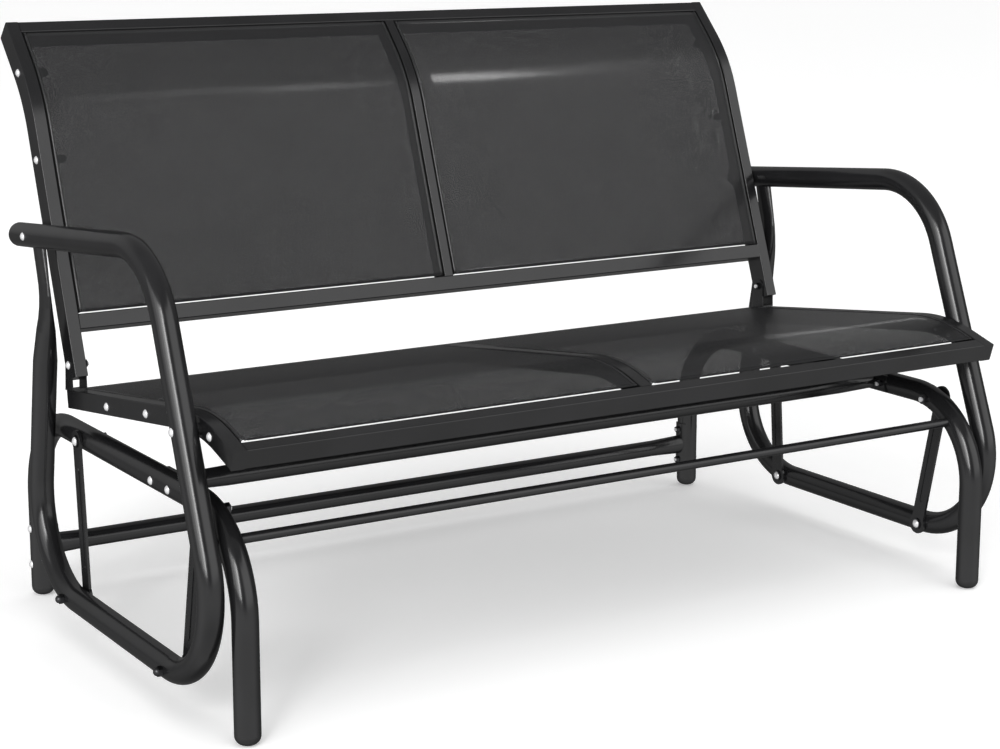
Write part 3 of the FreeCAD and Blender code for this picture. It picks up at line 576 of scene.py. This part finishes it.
floor_corners = [(-floor_reach, -floor_reach, 0), (floor_reach, -floor_reach, 0),
                 (floor_reach, floor_reach, 0), (-floor_reach, floor_reach, 0)]
floor_mesh = bpy.data.meshes.new("floor")
floor_mesh.from_pydata(floor_corners, [], [(0, 1, 2, 3)])
floor = bpy.data.objects.new("floor", floor_mesh)
bpy.context.scene.collection.objects.link(floor)
floor.location.z = -floor_drop
floor.visible_glossy = False
floor.visible_diffuse = False
floor_material = bpy.data.materials.new("floor_paint")
floor_material.use_nodes = True
floor_shader = floor_material.node_tree.nodes["Principled BSDF"]
floor_shader.inputs["Base Color"].default_value = (*grey(floor_white), 1)
floor_shader.inputs["Roughness"].default_value = floor_roughness
floor_shader.inputs["Specular IOR Level"].default_value = 0.0
floor_shader.inputs["Emission Color"].default_value = (*grey(1.0), 1)
floor_shader.inputs["Emission Strength"].default_value = floor_glow
floor_mesh.materials.append(floor_material)


# World. A direction's height is its Z from -1 to 1 and its depth is its Y. Angles are degrees from
# the azimuth at which a brightness ends and at which it is full
sky_heights = (0.0, 0.55)
sky_brightness = (0.12, 0.24)
front_depths = (-0.7, 0.0)
front_shares = (0.7, 1.0)
lit_floor_azimuth = 211.0
lit_floor_angles = (140.0, 60.0)
lit_floor_horizon = (-0.16, 0.06)
lit_floor_foot = (-0.8, -0.3)
lit_floor_foot_shares = (0.6, 1.0)
lit_floor_brightness = 0.76
left_wall_azimuth = 285.0
left_wall_angles = (95.0, 45.0)
left_wall_foot = (-0.1, 0.15)
left_wall_top = (0.5, 0.9)
left_wall_brightness = 0.18
side_window_azimuth = 150.0
side_window_angles = (44.0, 20.0)
side_window_foot = (-0.12, 0.1)
side_window_top = (0.60, 0.72)
side_window_brightness = 1.45

# Slightly over 1, so that the level share isn't zero straight up or down
unit = 1.0001

world = bpy.data.worlds.new("world")
world.use_nodes = True
bpy.context.scene.world = world
sky_tree = world.node_tree
direction = sky_tree.nodes.new("ShaderNodeSeparateXYZ")
sky_place = sky_tree.nodes.new("ShaderNodeTexCoord").outputs["Generated"]
sky_tree.links.new(sky_place, direction.inputs["Vector"])


def eased(value, old, new):
    """The value's old range eased to a new one."""
    result = remap(sky_tree, value, old, new)
    result.node.interpolation_type = "SMOOTHSTEP"
    return result


def combined(operation, *values):
    """Outputs and numbers added or multiplied one after another."""
    total = values[0]
    for value in values[1:]:
        total = math_node(sky_tree, operation, total, value)
    return total


def beside(azimuth, angles):
    """How near a direction's azimuth is to this one: 0 at the outer angle, 1 at the inner one."""
    facing = sky_tree.nodes.new("ShaderNodeVectorMath")
    facing.operation = "DOT_PRODUCT"
    sky_tree.links.new(sky_place, facing.inputs[0])
    facing.inputs[1].default_value = forward(azimuth, 0.0)
    turned = math_node(sky_tree, "DIVIDE", facing.outputs["Value"], level_share)
    return eased(turned, [math.cos(math.radians(angle)) for angle in angles], rising)


sky_height = direction.outputs["Z"]
height_squared = combined("MULTIPLY", sky_height, sky_height)
level_share = math_node(sky_tree, "SQRT", math_node(sky_tree, "SUBTRACT", unit, height_squared))
open_sky = combined("MULTIPLY", eased(sky_height, sky_heights, sky_brightness),
                    eased(direction.outputs["Y"], front_depths, front_shares))
lit_floor = combined("MULTIPLY", beside(lit_floor_azimuth, lit_floor_angles),
                     eased(sky_height, lit_floor_horizon, falling),
                     eased(sky_height, lit_floor_foot, lit_floor_foot_shares), lit_floor_brightness)
left_wall = combined("MULTIPLY", beside(left_wall_azimuth, left_wall_angles),
                     eased(sky_height, left_wall_foot, rising),
                     eased(sky_height, left_wall_top, falling), left_wall_brightness)
side_window = combined("MULTIPLY", beside(side_window_azimuth, side_window_angles),
                       eased(sky_height, side_window_top, falling),
                       eased(sky_height, side_window_foot, rising), side_window_brightness)
studio = combined("ADD", open_sky, lit_floor, left_wall, side_window)
sky_tree.links.new(studio, sky_tree.nodes["Background"].inputs["Strength"])
sky_tree.nodes["Background"].inputs["Color"].default_value = (*grey(1.0), 1)
bpy.context.scene.view_settings.view_transform = "Standard"


# Lights
bench_middle = Vector((0.0, 0.0, 0.45))
glint_distance = 5.0
sun_distance = 6.0
window_distance = 12.0
window_elevation = 20.0
window_height = 7.0


def aimed(name, lamp, azimuth, elevation, distance):
    """Light object that faces the middle of the bench from this direction."""
    away = forward(azimuth, -elevation)
    made = bpy.data.objects.new(name, lamp)
    made.location = bench_middle + away * distance
    made.rotation_mode = "QUATERNION"
    made.rotation_quaternion = (-away).to_track_quat("-Z", "Y")
    bpy.context.scene.collection.objects.link(made)
    return made


def soft_light(name, azimuth, elevation, width, height, radiance, distance=glint_distance):
    """Soft box of this size and distance in metres, with this brightness."""
    lamp = bpy.data.lights.new(name, "AREA")
    lamp.shape = "RECTANGLE"
    lamp.size = width
    lamp.size_y = height
    lamp.energy = radiance * width * height * math.pi
    return aimed(name, lamp, azimuth, elevation, distance)


def light_only(lamp, pieces):
    """Keeps a light to these pieces."""
    group = bpy.data.collections.new(lamp.name + "_pieces")
    for piece in pieces:
        group.objects.link(piece)
    lamp.light_linking.receiver_collection = group


def floor_light(name, azimuth, elevation, spread, strength):
    """Distant soft light for the floor and its shadows, without a highlight of its own."""
    lamp = bpy.data.lights.new(name, "SUN")
    lamp.energy = strength
    lamp.angle = math.radians(spread)
    made = aimed(name, lamp, azimuth, elevation, sun_distance)
    made.visible_glossy = False


# Windows beside each other, each dimmer than the one before it
for name, azimuth, width, radiance in (("front_window", 224.0, 2.4, 11.0),
                                       ("front_fade", 237.0, 3.0, 4.4),
                                       ("left_fade", 254.0, 4.0, 2.0),
                                       ("left_end", 274.0, 4.0, 0.9)):
    soft_light(name, azimuth, window_elevation, width, window_height, radiance, window_distance)

# Highlights on the slings, each a bright light and a dimmer one beside it
right_sling, left_sling = back_slings
light_only(soft_light("right_glint", azimuth=129.6, elevation=47.1, width=0.22, height=0.46,
                      radiance=85.0), [right_sling])
light_only(soft_light("right_tail", azimuth=122.5, elevation=45.7, width=0.80, height=0.46,
                      radiance=2.6), [right_sling])
light_only(soft_light("left_glint", azimuth=140.6, elevation=49.2, width=0.32, height=0.30,
                      radiance=15.0), [left_sling])
light_only(soft_light("left_tail", azimuth=148.0, elevation=52.3, width=0.75, height=0.30,
                      radiance=4.5), [left_sling])
light_only(soft_light("seat_glint", azimuth=48.3, elevation=11.0, width=0.65, height=0.09,
                      radiance=6.0), seat_slings)
light_only(soft_light("seat_tail", azimuth=42.5, elevation=8.6, width=0.4, height=0.09,
                      radiance=2.5), seat_slings)
floor_light("top_light", azimuth=195.0, elevation=66.0, spread=40.0, strength=0.8)
floor_light("fill_light", azimuth=60.0, elevation=60.0, spread=60.0, strength=0.5)
